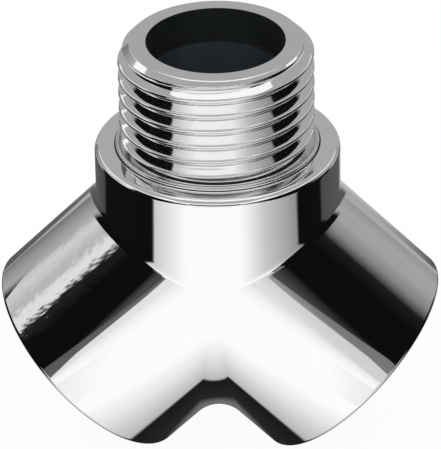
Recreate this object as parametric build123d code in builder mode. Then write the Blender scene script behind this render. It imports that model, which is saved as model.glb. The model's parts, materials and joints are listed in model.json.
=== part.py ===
"""Y-piece for a shower or bath: a threaded inlet on a round body that parts into two outlets.

Millimetres. The origin is on the inlet's axis, in the plane of the shoulder under its thread.
+Z runs up the inlet, and X runs across the two branches.
"""

import math
import os

from build123d import *

# Body and branches: three tubes of one outside size whose axes meet in one point.
tube_radius = 13.2
branch_angle = 45.0
junction_depth = 11.65
branch_length = 20.8

# Inlet: half-inch parallel pipe thread with flanks at 55 degrees to each other.
inlet_height = 12.2
thread_major_radius = 10.4775
thread_pitch = 1.814
flank_angle = 27.5
neck_height = 2.28

# Low ring round the foot of the inlet, clear of the neck, and the ledge outside it.
ledge_width = 1.8
ring_width = 1.0
ring_height = 0.45

# Waterway: a counterbore in the inlet, then one bore size through all three arms.
counterbore_radius = 7.45
counterbore_depth = 3.9
waterway_radius = 7.1

# Outlet sockets: bored to the small diameter of the same pipe thread.
socket_depth = 9.5

# Rounds where the tubes meet, and small edges broken at 45 degrees.
crotch_round = 3.5
crease_round = 3.0
shoulder_edge = 0.35
branch_end_edge = 0.29

# Clearances.
lead_clearance = 0.12
mouth_clearance = 0.1
groove_overrun = 0.2

# Thread section: the sharp V is cut flat by one sixth of the pitch at crest and root.
flank_slope = math.tan(math.radians(flank_angle))
thread_land = thread_pitch / 6
thread_depth = (thread_pitch / 2 - thread_land) / flank_slope
thread_root_radius = thread_major_radius - thread_depth
groove_half_width = thread_land / 2 + (thread_depth + groove_overrun) * flank_slope
groove_count = math.ceil((inlet_height - neck_height) / thread_pitch)

# Radii that follow from the thread and the body. The neck is turned down to the thread's root.
neck_radius = thread_root_radius
lead_radius = thread_root_radius - lead_clearance
ring_outer_radius = tube_radius - ledge_width
ring_inner_radius = ring_outer_radius - ring_width
socket_radius = thread_root_radius
mouth_radius = thread_major_radius + mouth_clearance

# Planes: the junction's own, one along each branch, and one at each branch end looking back.
# The seam line of each branch lies on its left, so every line where two tubes meet is in two like halves.
slant_x = math.sin(math.radians(branch_angle))
slant_z = math.cos(math.radians(branch_angle))
junction = Plane((0, 0, -junction_depth))
branch_starts = []
branch_ends = []
for side in (-1, 1):
    outward = Vector(side * slant_x, 0, -slant_z)
    seam = Vector(-slant_z, 0, -side * slant_x)
    branch_starts.append(Plane(origin=junction.origin, x_dir=seam, z_dir=outward))
    end_point = junction.origin + outward * branch_length
    branch_ends.append(Plane(origin=end_point, x_dir=(0, 1, 0), z_dir=-outward))

with BuildPart() as y_piece:
    # Round body from the shoulder down to the junction, and the two branches.
    with BuildSketch(junction):
        Circle(tube_radius)
    extrude(amount=junction_depth)
    for start in branch_starts:
        with BuildSketch(start):
            Circle(tube_radius)
        extrude(amount=branch_length)

    # Rolled rounds: one in the crotch between the branches, and one in the crease on each side of the body.
    crotch = y_piece.edges().filter_by(GeomType.ELLIPSE).group_by(Axis.Z)[0]
    fillet(crotch, radius=crotch_round)
    creases = y_piece.edges().filter_by_position(Axis.Z, -junction_depth, -shoulder_edge)
    fillet(creases.filter_by(GeomType.ELLIPSE), radius=crease_round)

    # Outer edges of the shoulder and of the branch ends.
    shoulder = y_piece.faces().sort_by(Axis.Z)[-1]
    chamfer(shoulder.edges(), length=shoulder_edge)
    for end in branch_ends:
        end_face = y_piece.faces().filter_by(end).sort_by_distance(end.origin)[0]
        chamfer(end_face.edges(), length=branch_end_edge)

    # Low ring round the foot of the inlet.
    with BuildSketch():
        Circle(ring_outer_radius)
        Circle(ring_inner_radius, mode=Mode.SUBTRACT)
    extrude(amount=ring_height)

    # Neck, then the blank of the thread with its lead.
    with BuildSketch():
        Circle(neck_radius)
    extrude(amount=neck_height)
    with BuildSketch(Plane((0, 0, neck_height))):
        Circle(thread_major_radius)
    extrude(amount=inlet_height - neck_height)
    blank_rim = y_piece.faces().sort_by(Axis.Z)[-1].edges()
    chamfer(blank_rim, length=thread_major_radius - lead_radius)

    # Grooves with the thread's own section, one to each pitch.
    for turn in range(groove_count):
        groove_height = neck_height + turn * thread_pitch
        with BuildSketch(Plane.XZ):
            with BuildLine():
                Polyline(
                    (thread_major_radius + groove_overrun, groove_height + groove_half_width),
                    (thread_root_radius, groove_height + thread_land / 2),
                    (thread_root_radius, groove_height - thread_land / 2),
                    (thread_major_radius + groove_overrun, groove_height - groove_half_width),
                    close=True,
                )
            make_face()
        revolve(axis=Axis.Z, mode=Mode.SUBTRACT)

    # Waterway: counterbore and bore of the inlet, then bore, socket and mouth of each branch.
    with BuildSketch(Plane((0, 0, inlet_height))):
        Circle(counterbore_radius)
    extrude(amount=-counterbore_depth, mode=Mode.SUBTRACT)
    with BuildSketch(junction):
        Circle(waterway_radius)
    extrude(amount=junction_depth + inlet_height, mode=Mode.SUBTRACT)
    for start in branch_starts:
        with BuildSketch(start):
            Circle(waterway_radius)
        extrude(amount=branch_length, mode=Mode.SUBTRACT)
    for end in branch_ends:
        with BuildSketch(end):
            Circle(socket_radius)
        extrude(amount=socket_depth, mode=Mode.SUBTRACT)
        end_face = y_piece.faces().filter_by(end).sort_by_distance(end.origin)[0]
        mouth_edge = end_face.inner_wires()[0].edges()
        chamfer(mouth_edge, length=mouth_radius - socket_radius)

y_piece.part.label = "y_piece"

os.makedirs("parts", exist_ok=True)
export_step(y_piece.part, "parts/y_piece.step")
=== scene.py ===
"""A chromed Y-piece for a shower or bath, dressed and lit as in a studio.

Sizes are in millimetres and become metres when a mesh is made. The frame is that of the solid model: the
origin is on the inlet's axis in the plane of the shoulder, +Z runs up the inlet, X across the two branches.
"""

from __future__ import annotations

import json
import logging
import math
from abc import ABC, abstractmethod
from dataclasses import dataclass, field
from enum import Enum, IntEnum
from typing import Callable, Sequence, Union

import bpy
import numpy as np
from mathutils import Matrix, Vector


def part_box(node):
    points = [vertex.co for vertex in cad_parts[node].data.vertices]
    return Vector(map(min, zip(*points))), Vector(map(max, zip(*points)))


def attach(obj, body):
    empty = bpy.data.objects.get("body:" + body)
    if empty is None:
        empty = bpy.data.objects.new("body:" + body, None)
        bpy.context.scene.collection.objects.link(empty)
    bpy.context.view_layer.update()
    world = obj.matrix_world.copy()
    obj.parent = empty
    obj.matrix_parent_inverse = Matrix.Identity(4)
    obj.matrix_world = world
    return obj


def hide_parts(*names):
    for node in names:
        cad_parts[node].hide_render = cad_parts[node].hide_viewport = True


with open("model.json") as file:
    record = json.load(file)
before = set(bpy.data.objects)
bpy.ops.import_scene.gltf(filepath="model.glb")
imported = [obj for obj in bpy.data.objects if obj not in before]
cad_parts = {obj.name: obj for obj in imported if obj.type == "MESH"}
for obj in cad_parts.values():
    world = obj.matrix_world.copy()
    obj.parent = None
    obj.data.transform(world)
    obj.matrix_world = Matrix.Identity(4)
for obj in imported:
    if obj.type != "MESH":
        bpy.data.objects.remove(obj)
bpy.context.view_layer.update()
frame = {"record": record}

log = logging.getLogger("y_piece")

METRE = 0.001
WHITE = (1.0, 1.0, 1.0, 1.0)
UP = np.array([0.0, 0.0, 1.0])
RIGHTWARD = np.array([1.0, 0.0, 0.0])
REARWARD = np.array([0.0, 1.0, 0.0])
NODE = "y_piece"
BODY = "root"

Pair = tuple[float, float]
Triple = tuple[float, float, float]
Stretch = tuple[np.ndarray, np.ndarray]
Profile = list[Stretch]
Corners = tuple[Triple, ...]
Faces = list[tuple[int, ...]]
Bands = tuple[Pair, ...]


class Finish(IntEnum):
    """The materials of the fitting, in the order of its material slots: its finishes, and one of painted
    shade.
    """

    POLISHED = 0
    TURNED = 1
    SATIN = 2
    BORE = 3
    WELL = 4
    # Painted shade: a dark, dull material laid in the corners beside the inlet's ring and neck and on the
    # counterbore's step, where shade falls.
    SEAT = 5


class Facing(Enum):
    """Which way a straight stretch of a turned section faces: its normal, radius first, then height."""

    OUT = (1.0, 0.0)
    IN = (-1.0, 0.0)
    ALONG = (0.0, 1.0)


# Shader graphs.


class Value:
    """A shader socket that takes part in Python arithmetic by adding Math nodes."""

    def __init__(self, graph: Graph, socket: bpy.types.NodeSocket) -> None:
        """Wraps one output socket of a graph."""
        self.graph = graph
        self.socket = socket

    def _math(self, operation: str, first: Operand, second: Operand) -> Value:
        """Adds one Math node with the given operation and wraps its result."""
        node = self.graph.node("ShaderNodeMath", {"operation": operation}, {0: first, 1: second})
        return Value(self.graph, node.outputs[0])

    def __add__(self, other: Operand) -> Value:
        """self + other."""
        return self._math("ADD", self, other)

    def __radd__(self, other: Operand) -> Value:
        """other + self."""
        return self._math("ADD", other, self)

    def __sub__(self, other: Operand) -> Value:
        """self - other."""
        return self._math("SUBTRACT", self, other)

    def __rsub__(self, other: Operand) -> Value:
        """other - self."""
        return self._math("SUBTRACT", other, self)

    def __mul__(self, other: Operand) -> Value:
        """self * other."""
        return self._math("MULTIPLY", self, other)

    def __rmul__(self, other: Operand) -> Value:
        """other * self."""
        return self._math("MULTIPLY", other, self)

    def at_most(self, other: Operand) -> Value:
        """The lesser of self and other."""
        return self._math("MINIMUM", self, other)


Operand = Union[Value, float]
Setting = Union[Value, bpy.types.NodeSocket, float, Sequence[float]]
Settings = dict[str, object]
Inputs = dict[Union[str, int], Setting]


class Graph:
    """The node tree of one material or of the world."""

    def __init__(self, owner: bpy.types.ID) -> None:
        """Clears the owner's node tree and keeps it.

        Args:
            owner: The material or the world.
        """
        owner.use_nodes = True
        self.tree = owner.node_tree
        self.tree.nodes.clear()

    def node(self, kind: str, settings: Settings | None = None,
             inputs: Inputs | None = None) -> bpy.types.Node:
        """Adds a node.

        Args:
            kind: The node's type.
            settings: Its own settings, set first. "stops" are a ramp's positions and grey levels.
            inputs: The values or links of its sockets, by name or index.

        Returns:
            The new node.
        """
        node = self.tree.nodes.new(kind)
        for name, setting in (settings or {}).items():
            if name == "stops":
                self._set_stops(node.color_ramp.elements, setting)
            else:
                setattr(node, name, setting)
        for key, value in (inputs or {}).items():
            socket = node.inputs[key]
            if isinstance(value, Value):
                value = value.socket
            if isinstance(value, bpy.types.NodeSocket):
                self.tree.links.new(value, socket)
            else:
                socket.default_value = value
        return node

    @staticmethod
    def _set_stops(elements: bpy.types.ColorRampElements, stops: Sequence[Pair]) -> None:
        """Gives a ramp its stops.

        Args:
            elements: The ramp's stops, of which a new ramp has two.
            stops: Positions from 0 to 1, each with its grey level.
        """
        while len(elements) < len(stops):
            elements.new(1.0)
        for element, (position, level) in zip(elements, stops):
            element.position = position
            element.color = (level, level, level, 1.0)

    def value(self, kind: str, output: str | int, settings: Settings | None = None,
              inputs: Inputs | None = None) -> Value:
        """Adds a node and wraps one of its outputs, ready for arithmetic."""
        return Value(self, self.node(kind, settings, inputs).outputs[output])

    def noise(self, vector: Setting, scale: float, detail: float = 2.0) -> Value:
        """Adds a noise texture with a scale per metre and wraps its grey value."""
        inputs = {"Vector": vector, "Scale": scale, "Detail": detail}
        return self.value("ShaderNodeTexNoise", 0, None, inputs)

    def tint(self, amount: Value, first: Triple, second: Triple) -> Value:
        """Mixes two colours, whose sockets on a Mix node are 6 and 7 with 2 for the result."""
        inputs = {0: amount, 6: (*first, 1.0), 7: (*second, 1.0)}
        return self.value("ShaderNodeMix", 2, {"data_type": "RGBA"}, inputs)

    def seen_directly(self) -> Value:
        """Tells the rays that show a surface from those that carry light.

        Returns:
            One for camera, mirror and see-through rays, and zero for the others.
        """
        path = self.node("ShaderNodeLightPath").outputs
        names = ("Is Camera Ray", "Is Glossy Ray", "Is Transmission Ray")
        camera, glossy, clear = (Value(self, path[name]) for name in names)
        return (camera + glossy + clear).at_most(1.0)

    def finish(self, kind: str, shader: bpy.types.Node) -> None:
        """Links a shader to a new output node of the given kind."""
        self.node(kind, None, {"Surface": shader.outputs[0]})


@dataclass(frozen=True, kw_only=True)
class MetalFinish:
    """A metal surface with its own polish, tool marks and slight unevenness.

    Scales are per metre. Strengths and the spacing of the tool marks are in millimetres.
    """

    name: str
    pale: Triple
    deep: Triple
    smoothest: float
    roughest: float
    metallic: float = 1.0
    cloud_scale: float = 700.0
    cloud_detail: float = 4.0
    peel_scale: float = 1500.0
    peel_strength: float = 0.004
    mark_spacing: float = 0.0
    mark_strength: float = 0.0
    mark_wander: float = 0.6

    def material(self) -> bpy.types.Material:
        """Makes the material.

        Returns:
            A metal whose colour, roughness and relief vary slightly over the surface.
        """
        material = bpy.data.materials.new(self.name)
        graph = Graph(material)
        place = graph.node("ShaderNodeTexCoord").outputs["Object"]
        cloud = graph.noise(place, self.cloud_scale, self.cloud_detail)
        relief = graph.noise(place, self.peel_scale) * self.peel_strength
        if self.mark_spacing:
            relief = relief + self._marks(graph, place) * self.mark_strength
        bump = graph.node("ShaderNodeBump", None, {"Strength": 1.0, "Distance": METRE, "Height": relief})
        shader = graph.node("ShaderNodeBsdfPrincipled", None, {
            "Base Color": graph.tint(cloud, self.pale, self.deep),
            "Metallic": self.metallic,
            "Roughness": self.smoothest + cloud * (self.roughest - self.smoothest),
            "Normal": bump.outputs[0],
        })
        graph.finish("ShaderNodeOutputMaterial", shader)
        return material

    def _marks(self, graph: Graph, place: bpy.types.NodeSocket) -> Value:
        """Adds the fine rings that a turning tool leaves.

        Args:
            graph: The material's nodes.
            place: The coordinates they read.

        Returns:
            The height of the marks, from 0 to 1.
        """
        period_at_scale_one = 2 * math.pi / 20
        scale = period_at_scale_one / (self.mark_spacing * METRE)
        inputs = {"Vector": place, "Scale": scale, "Distortion": self.mark_wander}
        return graph.value("ShaderNodeTexWave", "Fac", {"bands_direction": "Z"}, inputs)


FINISHES: dict[Finish, MetalFinish] = {
    Finish.POLISHED: MetalFinish(
        name="polished_chrome", pale=(0.98, 0.981, 0.984), deep=(0.95, 0.952, 0.957),
        smoothest=0.02, roughest=0.05, cloud_scale=260.0, peel_scale=420.0, peel_strength=0.0006,
    ),
    Finish.TURNED: MetalFinish(
        name="turned_chrome", pale=(0.95, 0.953, 0.957), deep=(0.89, 0.893, 0.9),
        smoothest=0.03, roughest=0.08, cloud_scale=500.0, peel_scale=900.0, peel_strength=0.0006,
        mark_spacing=0.11, mark_strength=0.0003,
    ),
    Finish.SATIN: MetalFinish(
        name="satin_chrome", pale=(0.86, 0.865, 0.87), deep=(0.74, 0.745, 0.755),
        smoothest=0.16, roughest=0.26, cloud_scale=420.0, peel_scale=900.0, peel_strength=0.0012,
        mark_spacing=0.14, mark_strength=0.0008,
    ),
    Finish.BORE: MetalFinish(
        name="plated_bore", pale=(0.5, 0.55, 0.59), deep=(0.38, 0.42, 0.45),
        smoothest=0.32, roughest=0.46, mark_spacing=0.2, mark_strength=0.004,
    ),
    Finish.WELL: MetalFinish(
        name="turned_well", pale=(0.25, 0.27, 0.285), deep=(0.16, 0.172, 0.18),
        smoothest=0.3, roughest=0.44, mark_spacing=0.2, mark_strength=0.004,
    ),
    # Painted shade: near black, for the corners and the step where shade falls.
    Finish.SEAT: MetalFinish(
        name="dull_seat", pale=(0.035, 0.035, 0.037), deep=(0.02, 0.02, 0.021),
        smoothest=0.5, roughest=0.65, metallic=0.8,
    ),
}


# Surfaces.


def stand(name: str, data: bpy.types.ID) -> bpy.types.Object:
    """Puts an object into the scene.

    Args:
        name: Its name.
        data: Its mesh, lamp or camera.

    Returns:
        The object.
    """
    made = bpy.data.objects.new(name, data)
    bpy.context.scene.collection.objects.link(made)
    return made


@dataclass
class Skin:
    """One closed surface, gathered from patches that share the points of their edges."""

    points: list[np.ndarray] = field(default_factory=list)
    normals: list[np.ndarray] = field(default_factory=list)
    quads: list[np.ndarray] = field(default_factory=list)
    finishes: list[np.ndarray] = field(default_factory=list)
    weld_grain: float = 1e-4

    def add(self, points: np.ndarray, normals: np.ndarray, finish: Finish) -> None:
        """Adds a patch.

        Args:
            points: Its points, as rows by columns by three.
            normals: The surface's outward normal at each point.
            finish: What the patch is finished in.
        """
        rows, columns = points.shape[:2]
        start = sum(len(part) for part in self.points)
        index = start + np.arange(rows * columns).reshape(rows, columns)
        around = [index[:-1, :-1], index[:-1, 1:], index[1:, 1:], index[1:, :-1]]
        quads = np.stack(around, -1).reshape(-1, 4)
        flat = points.reshape(-1, 3)
        flat_normals = normals.reshape(-1, 3)
        corners = flat[quads - start]
        facing = np.cross(corners[:, 2] - corners[:, 0], corners[:, 3] - corners[:, 1])
        wanted = flat_normals[quads - start].sum(1)
        turned = (facing * wanted).sum(1) < 0
        quads[turned] = quads[turned][:, ::-1]
        self.points.append(flat)
        self.normals.append(flat_normals)
        self.quads.append(quads)
        self.finishes.append(np.full(len(quads), int(finish)))

    def mesh(self, name: str) -> bpy.types.Mesh:
        """Welds the patches into one mesh with their own normals.

        Args:
            name: The mesh's name.

        Returns:
            The mesh, in metres.
        """
        points, normals = np.vstack(self.points), np.vstack(self.normals)
        quads, finishes = np.vstack(self.quads), np.concatenate(self.finishes)
        # Points are welded by cells of a grid, whose lines are kept off round numbers.
        off_grid = 1 / math.pi
        grid = np.rint(points / self.weld_grain + off_grid).astype(np.int64)
        _, first, welded = np.unique(grid, axis=0, return_index=True, return_inverse=True)
        faces = welded.reshape(-1)[quads]
        # A quad with two corners in one place becomes a triangle, and one with less is left out.
        used = faces != np.roll(faces, -1, axis=1)
        crossed = (faces[:, 0] == faces[:, 2]) | (faces[:, 1] == faces[:, 3])
        kept = (used.sum(1) > 2) & ~crossed
        faces, used, corners = faces[kept], used[kept], quads[kept]
        mesh = bpy.data.meshes.new(name)
        outlines = [face[mask].tolist() for face, mask in zip(faces, used)]
        mesh.from_pydata((points[first] * METRE).tolist(), [], outlines)
        mesh.polygons.foreach_set("material_index", finishes[kept].astype(np.int32))
        mesh.shade_smooth()
        mesh.normals_split_custom_set(normals[corners[used]].tolist())
        mesh.update()
        return mesh


@dataclass(frozen=True)
class Axis:
    """A straight axis with a direction across it, to turn and to thread shapes about."""

    start: np.ndarray
    along: np.ndarray
    across: np.ndarray

    def ring(self, angles: np.ndarray) -> np.ndarray:
        """Unit directions square to the axis, at angles in radians from the across direction."""
        aside = np.cross(self.along, self.across)
        return np.cos(angles)[..., None] * self.across + np.sin(angles)[..., None] * aside

    def points(self, radius: np.ndarray, height: np.ndarray, angles: np.ndarray) -> np.ndarray:
        """Points at the given radius, height along the axis and angle about it."""
        return self.start + height[..., None] * self.along + radius[..., None] * self.ring(angles)


def straight(first: Pair, last: Pair, facing: Facing, steps: int = 1) -> Stretch:
    """A straight stretch of a section, radius first, then height: its points and their normals."""
    return np.linspace(first, last, steps + 1), np.tile(np.array(facing.value), (steps + 1, 1))


def rounded(centre: Pair, radius: float, first: float, last: float, steps: int) -> Stretch:
    """A rounded stretch of a section, which faces away from its centre.

    Args:
        centre: Radius and height of the arc's centre.
        radius: The arc's own radius.
        first: Angle of its first point, in degrees from the outward direction.
        last: Angle of its last point.
        steps: How many parts it has.

    Returns:
        Its points and their normals.
    """
    angles = np.radians(np.linspace(first, last, steps + 1))
    normals = np.stack([np.cos(angles), np.sin(angles)], 1)
    return np.array(centre) + radius * normals, normals


@dataclass
class Lathe:
    """Turns sections about an axis and adds them to a surface."""

    axis: Axis
    skin: Skin
    half_turn_steps: int

    @property
    def angles(self) -> np.ndarray:
        """The angles of a full turn, with the first one again at its end."""
        return np.arange(2 * self.half_turn_steps + 1) * (math.pi / self.half_turn_steps)

    def turn(self, profile: Profile, finish: Finish) -> None:
        """Adds one patch for each stretch of a profile.

        Args:
            profile: The stretches, each with its points and normals.
            finish: What they are finished in.
        """
        ring = self.axis.ring(self.angles)
        for points, normals in profile:
            placed = self.axis.points(points[:, :1], points[:, 1:], self.angles)
            facing = normals[:, :1, None] * ring + normals[:, 1:, None] * self.axis.along
            self.skin.add(placed, facing, finish)


def smooth_least(first: np.ndarray, second: np.ndarray, blend: Union[float, np.ndarray]) -> np.ndarray:
    """The lesser of two values, rounded over where they meet.

    Args:
        first: The first value.
        second: The second value.
        blend: How far apart the values may be for the rounding to reach them.

    Returns:
        The rounded lesser value.
    """
    least_blend = 1e-9
    blend = np.maximum(blend, least_blend)
    share = np.clip(0.5 + 0.5 * (second - first) / blend, 0, 1)
    return second + (first - second) * share - blend * share * (1 - share)


@dataclass(frozen=True)
class PipeThread:
    """The rounded section of a parallel pipe thread."""

    major_radius: float
    pitch: float = 1.814
    half_angle: float = 27.5
    tip_share: float = 0.137329

    @property
    def slope(self) -> float:
        """How fast the radius falls along a flank."""
        return 1 / math.tan(math.radians(self.half_angle))

    @property
    def tip_round(self) -> float:
        """Radius of the rounded crests and roots."""
        return self.tip_share * self.pitch

    @property
    def tip_reach(self) -> float:
        """How far along the axis a rounded crest reaches from its middle."""
        return self.tip_round * math.cos(math.radians(self.half_angle))

    @property
    def tip_drop(self) -> float:
        """How far the radius falls over a rounded crest."""
        return self.tip_round * (1 - math.sin(math.radians(self.half_angle)))

    @property
    def depth(self) -> float:
        """From crest to root."""
        return 2 * self.tip_drop + (self.pitch / 2 - 2 * self.tip_reach) * self.slope

    @property
    def minor_radius(self) -> float:
        """Radius at the roots."""
        return self.major_radius - self.depth

    def radius(self, from_crest: np.ndarray) -> np.ndarray:
        """Radius of the thread's surface.

        Args:
            from_crest: Distance along the axis from any one crest.

        Returns:
            The radius there.
        """
        away = np.abs((from_crest / self.pitch + 0.5) % 1 - 0.5) * self.pitch
        to_root = self.pitch / 2 - away
        crest_arc = np.sqrt(np.maximum(self.tip_round**2 - away**2, 0))
        root_arc = np.sqrt(np.maximum(self.tip_round**2 - to_root**2, 0))
        flank = self.major_radius - self.tip_drop - (away - self.tip_reach) * self.slope
        crest = self.major_radius - self.tip_round + crest_arc
        root = self.minor_radius + self.tip_round - root_arc
        return np.where(away < self.tip_reach, crest, np.where(to_root < self.tip_reach, root, flank))


@dataclass(kw_only=True)
class ThreadedWall:
    """A wall of revolution with a helix cut in it, on a grid that follows the helix."""

    lathe: Lathe
    thread: PipeThread
    crest_height: float
    low: float
    high: float
    rows_per_pitch: int
    shape: Callable[[np.ndarray, np.ndarray], np.ndarray]
    outward: float = 1.0
    nudge: float = 1e-4

    def _radius(self, angle: np.ndarray, height: np.ndarray) -> np.ndarray:
        """Radius of the wall at an angle and a height."""
        climb = self.thread.pitch * angle / (2 * math.pi)
        return self.shape(self.thread.radius(height - climb - self.crest_height), height)

    def build(self, finish: Finish) -> None:
        """Adds the wall to the lathe's surface.

        Args:
            finish: What it is finished in.
        """
        pitch, step = self.thread.pitch, self.thread.pitch / self.rows_per_pitch
        rows = math.ceil((self.high - self.low + pitch) / step)
        angle = np.broadcast_to(self.lathe.angles, (rows + 1, len(self.lathe.angles)))
        start = self.low - pitch + step * np.arange(rows + 1)[:, None]
        height = np.clip(start + pitch * angle / (2 * math.pi), self.low, self.high)
        radius = self._radius(angle, height)
        nudge = self.nudge
        by_angle = (self._radius(angle + nudge, height) - self._radius(angle - nudge, height)) / (2 * nudge)
        by_height = (self._radius(angle, height + nudge) - self._radius(angle, height - nudge)) / (2 * nudge)
        axis = self.lathe.axis
        ring, aside = axis.ring(angle), axis.ring(angle + math.pi / 2)
        normal = ring - (by_angle / radius)[..., None] * aside - by_height[..., None] * axis.along
        normal *= self.outward / np.linalg.norm(normal, axis=-1, keepdims=True)
        self.lathe.skin.add(axis.points(radius, height, angle), normal, finish)


# The fitting's own forms.


@dataclass(frozen=True)
class Arm:
    """One of the three tubes that meet in the junction, with its angles to its neighbours and the rounds."""

    axis: Axis
    beside: Pair
    rounds: Pair
    length: float


def mount(name: str) -> dict:
    """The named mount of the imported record."""
    return next(entry for entry in frame["record"]["mounts"] if entry["name"] == name)


@dataclass
class Fitting:
    """The whole Y-piece: one casting with a turned and threaded inlet."""

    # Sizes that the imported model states.
    tube_radius: float
    inlet_height: float
    waterway_radius: float
    junction_depth: float
    thread: PipeThread

    # The branches, and the rounds where the tubes meet and where they end.
    branch_length: float = 20.8
    branch_angle: float = 45.0
    crotch_round: float = 3.5
    crease_round: float = 3.0
    shoulder_round: float = 0.75
    branch_end_round: float = 0.5

    # The foot of the inlet: the ledge, the low ring inside it, and the strips of painted shade in the corners
    # beside ring and neck.
    ledge_width: float = 2.25
    ring_width: float = 0.55
    ring_height: float = 0.45
    ring_round: float = 0.25
    corner_shade_width: float = 0.14
    gutter_shade_width: float = 0.3

    # The inlet's thread: where and how fast it rises from the neck, and its lead.
    neck_top: float = 0.6
    neck_slope: float = 2.0
    crest_at_right: float = 1.8295
    lead_clearance: float = 0.12
    lead_round: float = 0.3
    lead_angle: float = 45.0
    edge_blend: float = 0.12

    # The counterbore and the outlet sockets.
    counterbore_radius: float = 7.45
    counterbore_depth: float = 3.9
    socket_depth: float = 9.5
    mouth_clearance: float = 0.1
    runout_height: float = 1.3

    # How finely the surfaces are divided.
    half_turn_steps: int = 96
    arc_steps: int = 10
    tube_rows: int = 12
    bore_rows: int = 6
    well_rows: int = 4
    face_rows: int = 3
    inlet_rows_per_pitch: int = 24
    socket_rows_per_pitch: int = 16

    skin: Skin = field(default_factory=Skin)
    arms: list[Arm] = field(init=False)
    upright: Lathe = field(init=False)

    @classmethod
    def from_frame(cls) -> Fitting:
        """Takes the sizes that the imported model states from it.

        Returns:
            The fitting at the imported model's size.
        """
        _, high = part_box(NODE)
        outlet = mount("outlet_right")
        across, _, height = outlet["pos_m"]
        run, _, rise = outlet["axis"]
        return cls(
            tube_radius=high.y / METRE,
            inlet_height=high.z / METRE,
            waterway_radius=mount("inlet_waterway")["dims"]["r_mm"],
            junction_depth=(across * rise / run - height) / METRE,
            thread=PipeThread(mount("inlet_thread")["dims"]["r_mm"]),
        )

    def __post_init__(self) -> None:
        """Works out the three arms and the lathe of the inlet."""
        slant = math.radians(self.branch_angle)
        lean, drop = math.sin(slant), math.cos(slant)
        centre = np.array([0.0, 0.0, -self.junction_depth])
        over, between = math.pi - slant, 2 * slant
        crease, crotch = self.crease_round, self.crotch_round
        self.arms = [Arm(Axis(centre, UP, RIGHTWARD), (over, over), (crease, crease), self.junction_depth)]
        for side in (-1, 1):
            axis = Axis(centre, np.array([side * lean, 0.0, -drop]), np.array([side * drop, 0.0, lean]))
            self.arms.append(Arm(axis, (over, between), (crease, crotch), self.branch_length))
        self.upright = Lathe(Axis(np.zeros(3), UP, RIGHTWARD), self.skin, self.half_turn_steps)

    @property
    def half_angles(self) -> np.ndarray:
        """Angles over the half of a tube that faces one neighbour."""
        return (np.arange(self.half_turn_steps + 1) / self.half_turn_steps - 0.5) * math.pi

    @property
    def neck_radius(self) -> float:
        """The neck is turned down to the roots of the thread."""
        return self.thread.minor_radius

    @property
    def ring_outer(self) -> float:
        """Outer radius of the ring round the foot of the inlet."""
        return self.tube_radius - self.ledge_width

    @property
    def lead_radius(self) -> float:
        """Radius at which the lead would meet the inlet's end if their edge were sharp."""
        return self.neck_radius - self.lead_clearance

    @property
    def lead_bevel(self) -> float:
        """How far the lead's round reaches along the lead and along the inlet's end."""
        return self.lead_round * math.tan(math.radians(self.lead_angle / 2))

    @property
    def lead_top(self) -> float:
        """Height at which the lead goes over into its round."""
        return self.inlet_height - self.lead_bevel * math.sin(math.radians(self.lead_angle))

    @property
    def socket_seat(self) -> float:
        """Where along a branch its socket starts."""
        return self.branch_length - self.socket_depth

    @property
    def mouth_radius(self) -> float:
        """Radius of a socket's mouth."""
        return self.thread.major_radius + self.mouth_clearance

    def _halves(self, arm: Arm) -> list[tuple[np.ndarray, float, float]]:
        """Parts an arm into the halves that face its two neighbours.

        Args:
            arm: The arm.

        Returns:
            For each half its directions, its angle to the neighbour and the round between the two.
        """
        over, aside = np.cos(self.half_angles)[:, None], np.sin(self.half_angles)[:, None]
        rings = [side * over * arm.axis.across + aside * REARWARD for side in (1, -1)]
        return list(zip(rings, arm.beside, arm.rounds))

    def _meeting(self, radius: float, angle_between: float) -> np.ndarray:
        """Height along an arm at which it meets a neighbour, over the half that faces it."""
        return radius * np.maximum(np.cos(self.half_angles), 0) / math.tan(angle_between / 2)

    def _tube(self, arm: Arm, length: float, outside: bool) -> None:
        """Adds the outside wall or the bore of one arm, from its meeting lines to its end.

        Args:
            arm: The arm.
            length: Where the wall ends.
            outside: Whether it is the outside wall, which leaves room for the rounds, or the bore.
        """
        radius = self.tube_radius if outside else self.waterway_radius
        rows = self.tube_rows if outside else self.bore_rows
        share = np.linspace(0, 1, rows + 1)[:, None]
        for ring, beside, round_radius in self._halves(arm):
            start = self._meeting(radius + round_radius if outside else radius, beside)
            height = start + share * (length - start)
            points = arm.axis.start + height[..., None] * arm.axis.along + radius * ring
            normals = np.broadcast_to(ring if outside else -ring, points.shape)
            self.skin.add(points, normals, Finish.POLISHED if outside else Finish.BORE)

    def _blend(self, first: Arm, second: Arm, sides: tuple[int, int]) -> None:
        """Adds the rolled round between two arms.

        Args:
            first: One arm.
            second: Its neighbour.
            sides: Which half of each arm faces the other.
        """
        least_span, least_swing = 1e-12, 1e-6
        one, beside, round_radius = self._halves(first)[sides[0]]
        other = self._halves(second)[sides[1]][0]
        reach = self.tube_radius + round_radius
        height = self._meeting(reach, beside)
        ball = first.axis.start + height[:, None] * first.axis.along + reach * one
        swing = np.arccos(np.clip((one * other).sum(1), -1, 1))[None, :, None]
        share = np.linspace(0, 1, self.arc_steps + 1)[:, None, None]
        span = np.maximum(np.sin(swing), least_span)
        mixed = (np.sin((1 - share) * swing) * one + np.sin(share * swing) * other) / span
        normal = np.where(swing > least_swing, mixed, one[None])
        normal = normal / np.linalg.norm(normal, axis=-1, keepdims=True)
        self.skin.add(ball[None] - round_radius * normal, normal, Finish.POLISHED)

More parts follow.
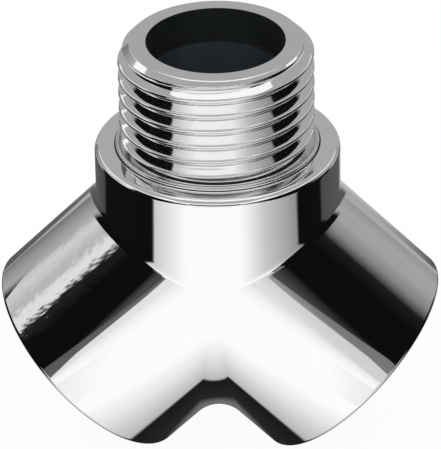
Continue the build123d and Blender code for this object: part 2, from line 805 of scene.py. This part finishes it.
    def build_outside(self) -> None:
        """Adds the body, the branches, the rounds where they meet, and the ledge."""
        body, left, right = self.arms
        end_rounds = (self.shoulder_round, self.branch_end_round, self.branch_end_round)
        for arm, end_round in zip(self.arms, end_rounds):
            self._tube(arm, arm.length - end_round, outside=True)
        self._blend(body, right, (0, 0))
        self._blend(body, left, (1, 0))
        self._blend(left, right, (1, 1))
        centre = (self.tube_radius - self.shoulder_round, -self.shoulder_round)
        ledge_inner = self.ring_outer + self.corner_shade_width
        self.upright.turn([
            rounded(centre, self.shoulder_round, 0, 90, self.arc_steps),
            straight((centre[0], 0), (ledge_inner, 0), Facing.ALONG, self.face_rows),
        ], Finish.POLISHED)

    def build_foot(self) -> None:
        """Adds the ring round the foot of the inlet, the gap behind it, the neck, and painted shade in the
        corners beside ring and neck.
        """
        neck, outer = self.neck_radius, self.ring_outer
        inner = outer - self.ring_width
        edge, top = self.ring_round, self.ring_height
        gutter = neck + self.gutter_shade_width
        self.upright.turn([
            straight((outer, 0), (outer, top - edge), Facing.OUT),
            rounded((outer - edge, top - edge), edge, 0, 90, self.arc_steps),
            straight((outer - edge, top), (inner + edge, top), Facing.ALONG),
            rounded((inner + edge, top - edge), edge, 90, 180, self.arc_steps),
            straight((inner, top - edge), (inner, 0), Facing.IN),
            straight((inner, 0), (gutter, 0), Facing.ALONG),
        ], Finish.SATIN)
        # Painted shade: dark strips on the ledge at the ring's foot and on the gap's floor at the neck's
        # foot, where shade falls in the corners.
        self.upright.turn([
            straight((outer + self.corner_shade_width, 0), (outer, 0), Facing.ALONG),
            straight((gutter, 0), (neck, 0), Facing.ALONG),
        ], Finish.SEAT)
        self.upright.turn([straight((neck, 0), (neck, self.neck_top / 2), Facing.OUT)], Finish.TURNED)

    def build_inlet(self) -> None:
        """Adds the inlet's thread with its lead, and the end of the inlet."""
        top = self.inlet_height
        ThreadedWall(
            lathe=self.upright, thread=self.thread, crest_height=self.crest_at_right, low=self.neck_top / 2,
            high=self.lead_top, rows_per_pitch=self.inlet_rows_per_pitch, shape=self._inlet_shape,
        ).build(Finish.TURNED)
        centre = (self.lead_radius - self.lead_bevel, top - self.lead_round)
        self.upright.turn([
            rounded(centre, self.lead_round, self.lead_angle, 90, self.arc_steps),
            straight((centre[0], top), (self.counterbore_radius, top), Facing.ALONG, self.face_rows),
        ], Finish.TURNED)

    def _inlet_shape(self, threaded: np.ndarray, height: np.ndarray) -> np.ndarray:
        """Cuts the inlet's thread back by the lead above it and by the neck below it.

        Args:
            threaded: Radius of the whole thread.
            height: Height up the inlet.

        Returns:
            Radius of the thread that is left.
        """
        over_neck = np.maximum(height - self.neck_top, 0)
        lead = self.lead_radius + self.inlet_height - height
        cut = smooth_least(threaded, lead, np.clip(self.lead_top - height, 0, self.edge_blend))
        rise = self.neck_radius + over_neck * self.neck_slope
        return smooth_least(cut, rise, np.minimum(over_neck, self.edge_blend))

    def build_waterway(self) -> None:
        """Adds the counterbore with its step in painted shade, the three bores and the threaded sockets of
        the outlets.
        """
        step_height = self.inlet_height - self.counterbore_depth
        wide, narrow = self.counterbore_radius, self.waterway_radius
        wall = straight((wide, self.inlet_height), (wide, step_height), Facing.IN, self.well_rows)
        step = straight((wide, step_height), (narrow, step_height), Facing.ALONG)
        self.upright.turn([wall], Finish.WELL)
        # The counterbore's step is painted shade: near black, as the shadowed ledge.
        self.upright.turn([step], Finish.SEAT)
        ends = (self.junction_depth + step_height, self.socket_seat, self.socket_seat)
        for arm, end in zip(self.arms, ends):
            self._tube(arm, end, outside=False)
        for arm in self.arms[1:]:
            self._build_socket(Lathe(arm.axis, self.skin, self.half_turn_steps))

    def _build_socket(self, lathe: Lathe) -> None:
        """Adds one outlet's seat, threaded wall, end face and rounded rim.

        Args:
            lathe: The lathe on the branch's axis.
        """
        end, seat = self.branch_length, self.socket_seat
        plain = self.thread.minor_radius
        wall_low = seat + self.runout_height / 2
        rim = (self.tube_radius - self.branch_end_round, end - self.branch_end_round)
        face = straight((self.mouth_radius, end), (rim[0], end), Facing.ALONG, self.face_rows)
        lathe.turn([
            straight((self.waterway_radius, seat), (plain, seat), Facing.ALONG),
            straight((plain, seat), (plain, wall_low), Facing.IN),
        ], Finish.BORE)
        ThreadedWall(
            lathe=lathe, thread=self.thread, crest_height=seat, low=wall_low, high=end,
            rows_per_pitch=self.socket_rows_per_pitch, shape=self._socket_shape, outward=-1.0,
        ).build(Finish.BORE)
        lathe.turn([face], Finish.TURNED)
        lathe.turn([rounded(rim, self.branch_end_round, 90, 0, self.arc_steps)], Finish.POLISHED)

    def _socket_shape(self, threaded: np.ndarray, height: np.ndarray) -> np.ndarray:
        """Runs a socket's thread out towards its seat and widens it at its mouth.

        Args:
            threaded: Radius of the whole thread.
            height: Height along the branch.

        Returns:
            Radius of the socket's wall.
        """
        to_end = self.branch_length - height
        fade = self.thread.minor_radius + np.maximum(height - self.socket_seat - self.runout_height, 0)
        cone = self.mouth_radius - to_end
        blend = self.edge_blend * np.clip(to_end / self.edge_blend, 0, 1)
        return -smooth_least(-np.minimum(threaded, fade), -cone, blend)

    def piece(self) -> bpy.types.Object:
        """Builds and dresses the fitting.

        Returns:
            The finished piece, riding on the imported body.
        """
        self.build_outside()
        self.build_foot()
        self.build_inlet()
        self.build_waterway()
        mesh = self.skin.mesh("y_fitting")
        for finish in Finish:
            mesh.materials.append(FINISHES[finish].material())
        made = stand("y_fitting", mesh)
        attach(made, BODY)
        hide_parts(NODE)
        return made


# Studio.


def level_sheet(height: float, sides: Pair, depths: Pair) -> Corners:
    """Corners of a level sheet, from its left and right and its front and back."""
    (left, right), (first, last) = sides, depths
    return (left, first, height), (right, first, height), (right, last, height), (left, last, height)


def facing_sheet(depth: float, sides: Pair, heights: Pair) -> Corners:
    """Corners of an upright sheet that faces the fitting from the front or the back."""
    (left, right), (low, high) = sides, heights
    return (left, depth, low), (right, depth, low), (right, depth, high), (left, depth, high)


def side_sheet(place: float, *outline: Pair) -> Corners:
    """Corners of an upright sheet at one side, by depth and height."""
    return tuple((place, depth, height) for depth, height in outline)


@dataclass(frozen=True, kw_only=True)
class Card(ABC):
    """A card near the fitting that only its mirror surfaces see, in bands of grey.

    A ragged card's bands wander by up to half the given width, in streaks that lie level.
    """

    name: str
    bands: Bands
    ragged: float = 0.0
    ragged_scale: float = 110.0
    ragged_detail: float = 7.0
    ragged_squeeze: float = 14.0

    def build(self) -> None:
        """Makes the card, which neither the camera nor the floor sees."""
        mesh = bpy.data.meshes.new(self.name)
        corners, faces = self._outline()
        mesh.from_pydata([Vector(corner) * METRE for corner in corners], [], faces)
        mesh.materials.append(self._material())
        card = stand(self.name, mesh)
        card.visible_camera = False
        card.visible_diffuse = False
        card.visible_shadow = False

    @abstractmethod
    def _outline(self) -> tuple[Corners, Faces]:
        """The card's corners and faces."""

    @abstractmethod
    def _across(self, graph: Graph, place: Value) -> Value:
        """The place on the card in the units of its bands."""

    def _material(self) -> bpy.types.Material:
        """Makes the card's bands.

        Returns:
            A material that glows in them.
        """
        material = bpy.data.materials.new(self.name)
        graph = Graph(material)
        place = graph.value("ShaderNodeNewGeometry", "Position")
        across = self._across(graph, place)
        if self.ragged:
            inputs = {0: place, 1: (1.0, 1.0, self.ragged_squeeze)}
            squeezed = graph.value("ShaderNodeVectorMath", 0, {"operation": "MULTIPLY"}, inputs)
            streaks = graph.noise(squeezed, self.ragged_scale, self.ragged_detail)
            across = across + (streaks - 0.5) * self.ragged
        first, last = self.bands[0][0], self.bands[-1][0]
        share = (across - first) * (1 / (last - first))
        stops = [((position - first) / (last - first), level) for position, level in self.bands]
        ramp = graph.node("ShaderNodeValToRGB", {"stops": stops}, {0: share})
        glow = graph.node("ShaderNodeEmission", None, {"Color": ramp.outputs[0], "Strength": 1.0})
        graph.finish("ShaderNodeOutputMaterial", glow)
        return material


@dataclass(frozen=True, kw_only=True)
class Panel(Card):
    """A flat card with straight edges, whose bands run from front to back."""

    corners: Corners

    def _outline(self) -> tuple[Corners, Faces]:
        """The corners and one face."""
        return self.corners, [tuple(range(len(self.corners)))]

    def _across(self, graph: Graph, place: Value) -> Value:
        """How far back the place is, in millimetres."""
        return graph.value("ShaderNodeSeparateXYZ", "Y", None, {0: place}) * (1 / METRE)


@dataclass(frozen=True, kw_only=True)
class RingCard(Card):
    """A flat ring on the floor round the fitting, whose bands run round it from behind, by the left."""

    height: float
    inner: float
    outer: float
    sides: int = 72

    def _outline(self) -> tuple[Corners, Faces]:
        """Lays out the ring.

        Returns:
            Two circles of corners and the faces between them.
        """
        turns = [2 * math.pi * side / self.sides for side in range(self.sides)]
        corners = tuple(
            (radius * math.cos(turn), radius * math.sin(turn), self.height)
            for radius in (self.inner, self.outer) for turn in turns
        )
        nexts = [(side + 1) % self.sides for side in range(self.sides)]
        faces = [(side, side + self.sides, after + self.sides, after) for side, after in enumerate(nexts)]
        return corners, faces

    def _across(self, graph: Graph, place: Value) -> Value:
        """Measures how far round the ring a place is.

        Args:
            graph: The card's nodes.
            place: The place.

        Returns:
            Its bearing from the front, in degrees, with the right as positive.
        """
        apart = graph.node("ShaderNodeSeparateXYZ", None, {0: place}).outputs
        forward = Value(graph, apart["Y"]) * -1.0
        turn = graph.value("ShaderNodeMath", 0, {"operation": "ARCTAN2"}, {0: apart["X"], 1: forward})
        return turn * math.degrees(1.0)


@dataclass(frozen=True)
class Surround:
    """The cards whose reflections draw the dark and light bands on the chrome.

    Depths run from the front, which is negative, to the back. Each band is a depth, or a bearing on the
    ring, with its grey level.
    """

    # How far the cards stand off, and how far those that lie over each other are kept apart.
    floor: float
    far: float = 110.0
    front: float = -260.0
    back: float = 160.0
    wall_top: float = 60.0
    wall_step: float = 1.0
    lift: float = 0.5

    # On the floor.
    near: float = 38.0
    ring_outer: float = 150.0
    under_front: float = -26.0
    front_floor_end: float = -80.0
    back_floor_start: float = 40.0

    # Overhead, in front and at the back.
    roof: float = 81.0
    roof_gap: float = 36.0
    roof_start: float = -60.0
    roof_front_reach: float = 70.0
    roof_front_depths: Pair = (-120.0, -25.0)
    horizon_depth: float = -240.0
    horizon_reach: float = 100.0
    horizon_heights: Pair = (5.0, 95.0)
    back_top: float = 200.0

    # Grey levels that cover a whole card, and the level of the dark bands.
    front_level: float = 1.0
    roof_level: float = 0.4
    horizon_level: float = 0.08
    back_floor_level: float = 0.35
    back_level: float = 0.4
    dark: float = 0.004

    @property
    def ground(self) -> float:
        """Height of the cards that lie on the floor."""
        return self.floor + self.lift

    def _even(self, level: float) -> Bands:
        """One even band."""
        return (self.front, level), (self.back, level)

    def _wall(self, place: float) -> Corners:
        """Corners of a whole wall at one side."""
        low, high = self.floor, self.wall_top
        return side_sheet(place, (self.front, low), (self.back, low), (self.back, high), (self.front, high))

    def _floor_cards(self) -> list[Card]:
        """The cards round the fitting, under it and in front of it; the one under it carries painted shadow.

        Returns:
            The cards.
        """
        ground, near, split, dark = self.ground, self.near, self.under_front, self.dark
        front, front_end = self.front, self.front_floor_end
        ring_bands = (
            (-180.0, 0.8), (-166.0, 0.5), (-153.0, 0.12), (-120.0, 0.06), (-117.0, 0.006), (-55.0, dark),
            (-54.0, 0.6), (-24.0, 1.0), (21.0, 1.0), (32.0, 0.79), (43.0, 0.57), (74.0, 0.28), (75.0, dark),
            (104.0, 0.005), (108.0, 0.07), (149.0, 0.1), (158.0, 0.45), (180.0, 0.8),
        )
        ring_height = ground + self.lift / 4
        under = level_sheet(ground, (-near, near), (split, near))
        # Painted shadow: from about 12 mm before the axis back, the under card is dark, standing for the
        # fitting's shadow on the floor beneath it as the chrome mirrors it.
        under_shadow_bands = (
            (split, 1.0), (-19.0, 0.82), (-11.8, 0.5), (-11.2, 0.01), (-5.5, 0.02), (-3.0, 0.15), (near, 0.2),
        )
        before = level_sheet(ground, (-near, near), (-near, split))
        front_floor = level_sheet(ground + self.lift / 2, (-self.far, self.far), (front, front_end))
        front_floor_bands = ((front, 0.74), (-185.0, 0.78), (front_end, 1.0))
        return [
            RingCard(
                name="ring_card", bands=ring_bands, height=ring_height, inner=near, outer=self.ring_outer,
            ),
            Panel(name="under_card", bands=under_shadow_bands, corners=under),
            Panel(name="front_card", bands=self._even(self.front_level), corners=before),
            Panel(name="front_floor_card", bands=front_floor_bands, corners=front_floor),
        ]

    def _left_cards(self) -> list[Card]:
        """The dark wall on the left, and the bright, low and front cards before it.

        Returns:
            The cards.
        """
        wall, front, floor, top, dark = -self.far, self.front, self.floor, self.wall_top, self.dark
        start, end, bottom = -60.0, 100.0, 8.0
        low_end, front_end, front_top = -115.0, -147.0, -13.0
        wall_bands = (
            (front, 0.08), (-150.0, 0.06), (-130.0, dark), (45.0, dark), (62.0, 0.38), (self.back, 0.16),
        )
        bright = side_sheet(wall + self.wall_step, (start, bottom), (end, bottom), (end, top), (start, top))
        bright_bands = (
            (start, dark), (-27.0, 0.018), (-25.5, 0.75), (-8.0, 0.75), (5.0, 0.45), (40.0, 0.65),
            (60.0, 0.4), (end, 0.3),
        )
        low = side_sheet(
            wall + self.wall_step, (front, floor), (low_end, floor), (low_end, -16.0), (front, front_top),
        )
        low_bands = ((front, 0.3), (-150.0, 0.11), (low_end, 0.1))
        fore = side_sheet(
            wall + 2 * self.wall_step, (front, floor), (front_end, floor), (front_end, -26.0),
            (-174.0, -22.0), (-184.0, -14.0), (front, front_top),
        )
        fore_bands = ((front, 0.8), (front_end, 0.76))
        return [
            Panel(name="left_wall_card", bands=wall_bands, corners=self._wall(wall)),
            Panel(name="left_bright_card", bands=bright_bands, corners=bright, ragged=60.0),
            Panel(name="left_low_card", bands=low_bands, corners=low),
            Panel(name="left_front_card", bands=fore_bands, corners=fore),
        ]

    def _right_cards(self) -> list[Card]:
        """The dark wall on the right, and the grey, low and front cards before it.

        Returns:
            The cards.
        """
        wall, front, floor, top, dark = self.far, self.front, self.floor, self.wall_top, self.dark
        start, end = -30.0, 100.0
        low_end, front_end, front_top = -106.0, -141.0, 8.0
        wall_bands = (
            (front, 0.08), (-150.0, 0.06), (-110.0, dark), (50.0, dark), (70.0, 0.38), (self.back, 0.3),
        )
        grey = side_sheet(wall - self.wall_step, (start, 8.0), (end, 0.0), (end, top), (start, top))
        grey_bands = ((start, dark), (-3.0, 0.012), (20.0, 0.24), (50.0, 0.36), (end, 0.38))
        low = side_sheet(
            wall - self.wall_step, (front, floor), (low_end, floor), (low_end, 1.0), (front, front_top),
        )
        low_bands = ((front, 0.4), (-190.0, 0.36), (-150.0, 0.2), (low_end, 0.18))
        fore = side_sheet(
            wall - 2 * self.wall_step, (front, floor), (front_end, floor), (front_end, -10.0),
            (-178.0, -7.0), (-200.0, 4.0), (front, front_top),
        )
        fore_bands = ((front, 0.78), (-190.0, 0.66), (front_end, 0.64))
        return [
            Panel(name="right_wall_card", bands=wall_bands, corners=self._wall(wall)),
            Panel(name="right_grey_card", bands=grey_bands, corners=grey),
            Panel(name="right_low_card", bands=low_bands, corners=low),
            Panel(name="right_front_card", bands=fore_bands, corners=fore),
        ]

    def _outer_cards(self) -> list[Card]:
        """The cards overhead, the dim horizon in front, and the grey back.

        Returns:
            The cards.
        """
        far, reach, horizon_reach = self.far, self.roof_front_reach, self.horizon_reach
        roof_depths, back_depths = (self.roof_start, self.back), (self.back_floor_start, self.back)
        left = level_sheet(self.roof, (-far, -self.roof_gap), roof_depths)
        right = level_sheet(self.roof, (self.roof_gap, far), roof_depths)
        before = level_sheet(self.roof - self.wall_step, (-reach, reach), self.roof_front_depths)
        horizon = facing_sheet(self.horizon_depth, (-horizon_reach, horizon_reach), self.horizon_heights)
        back_floor = level_sheet(self.ground - self.lift / 2, (-far, far), back_depths)
        backdrop = facing_sheet(self.back, (-far, far), (self.floor, self.back_top))
        plain = (
            ("roof_left_card", left, self.roof_level),
            ("roof_right_card", right, self.roof_level),
            ("roof_front_card", before, self.roof_level),
            ("horizon_card", horizon, self.horizon_level),
            ("back_floor_card", back_floor, self.back_floor_level),
            ("back_card", backdrop, self.back_level),
        )
        return [Panel(name=name, bands=self._even(level), corners=corners) for name, corners, level in plain]

    def cards(self) -> list[Card]:
        """All the cards."""
        return self._floor_cards() + self._left_cards() + self._right_cards() + self._outer_cards()


@dataclass(frozen=True)
class Studio:
    """The white floor, the light, the cards and the camera."""

    # The floor and the light.
    floor_height: float
    floor_reach: float = 2000.0
    floor_colour: float = 0.96
    floor_glow: float = 0.95
    dome_level: float = 0.8
    lamp_power: float = 0.8
    lamp_size: float = 400.0
    lamp_place: Triple = (-150.0, -250.0, 600.0)

    # The camera. Angles are in degrees, and the aim is how far right and up of the origin it looks.
    image_width: int = 441
    focal_pixels: float = 4338.0
    sensor_width: float = 36.0
    azimuth: float = 3.154
    elevation: float = 30.105
    roll: float = -1.028
    distance: float = 465.37
    aim: Pair = (0.334, -8.959)
    nearest_seen: float = 10.0

    def build_floor(self) -> None:
        """Lays the floor, white to the camera and with the fitting's soft shadow on it."""
        reach, height = self.floor_reach * METRE, self.floor_height * METRE
        mesh = bpy.data.meshes.new("floor")
        mesh.from_pydata(level_sheet(height, (-reach, reach), (-reach, reach)), [], [(0, 1, 2, 3)])
        material = bpy.data.materials.new("floor_white")
        graph = Graph(material)
        matt = graph.node("ShaderNodeBsdfDiffuse", None, {"Color": (self.floor_colour,) * 3 + (1.0,)})
        glow = graph.node("ShaderNodeEmission", None, {"Color": WHITE, "Strength": 1.0})
        mixed = graph.node("ShaderNodeMixShader", None, {
            0: graph.seen_directly() * self.floor_glow, 1: matt.outputs[0], 2: glow.outputs[0],
        })
        graph.finish("ShaderNodeOutputMaterial", mixed)
        mesh.materials.append(material)
        floor = stand("floor", mesh)

    def build_light(self) -> None:
        """Sets the white dome and hangs one soft lamp."""
        world = bpy.data.worlds.new("studio")
        bpy.context.scene.world = world
        graph = Graph(world)
        light = graph.node("ShaderNodeBackground", None, {"Color": WHITE, "Strength": self.dome_level})
        white = graph.node("ShaderNodeBackground", None, {"Color": WHITE, "Strength": 1.0})
        mixed = graph.node("ShaderNodeMixShader", None, {
            0: graph.seen_directly(), 1: light.outputs[0], 2: white.outputs[0],
        })
        graph.finish("ShaderNodeOutputWorld", mixed)
        lamp_data = bpy.data.lights.new("soft_lamp", "AREA")
        lamp_data.energy = self.lamp_power
        lamp_data.size = self.lamp_size * METRE
        lamp = stand("soft_lamp", lamp_data)
        lamp.location = Vector(self.lamp_place) * METRE
        lamp.rotation_euler = (-lamp.location).to_track_quat("-Z", "Y").to_euler()
        lamp.visible_glossy = False

    def build_cards(self) -> None:
        """Stands the cards round the fitting."""
        for card in Surround(self.floor_height).cards():
            card.build()
            log.info("card %s", card.name)

    def build_camera(self) -> None:
        """Places the camera at the photograph's viewing angle."""
        turn, tip, lean = (math.radians(angle) for angle in (self.azimuth, self.elevation, self.roll))
        back = Vector((math.sin(turn) * math.cos(tip), -math.cos(turn) * math.cos(tip), math.sin(tip)))
        level = Vector((math.cos(turn), math.sin(turn), 0.0))
        upright = back.cross(level)
        right = level * math.cos(lean) + upright * math.sin(lean)
        up = upright * math.cos(lean) - level * math.sin(lean)
        place = (right * self.aim[0] + up * self.aim[1] + back * self.distance) * METRE
        data = bpy.data.cameras.new("camera")
        data.sensor_fit = "HORIZONTAL"
        data.sensor_width = self.sensor_width
        data.lens = self.focal_pixels / self.image_width * self.sensor_width
        data.clip_start = self.nearest_seen * METRE
        camera = stand("camera", data)
        rows = Matrix((right, up, back)).transposed().to_4x4()
        camera.matrix_world = Matrix.Translation(place) @ rows
        bpy.context.scene.camera = camera


def main() -> None:
    """Builds the fitting and the studio round it."""
    logging.basicConfig(level=logging.INFO, format="%(name)s: %(message)s")
    piece = Fitting.from_frame().piece()
    log.info("piece %s, %d faces", piece.name, len(piece.data.polygons))
    studio = Studio(floor_height=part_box(NODE)[0].z / METRE)
    studio.build_floor()
    studio.build_light()
    studio.build_cards()
    studio.build_camera()
    bpy.context.scene.view_settings.view_transform = "Standard"


if __name__ == "__main__":
    main()
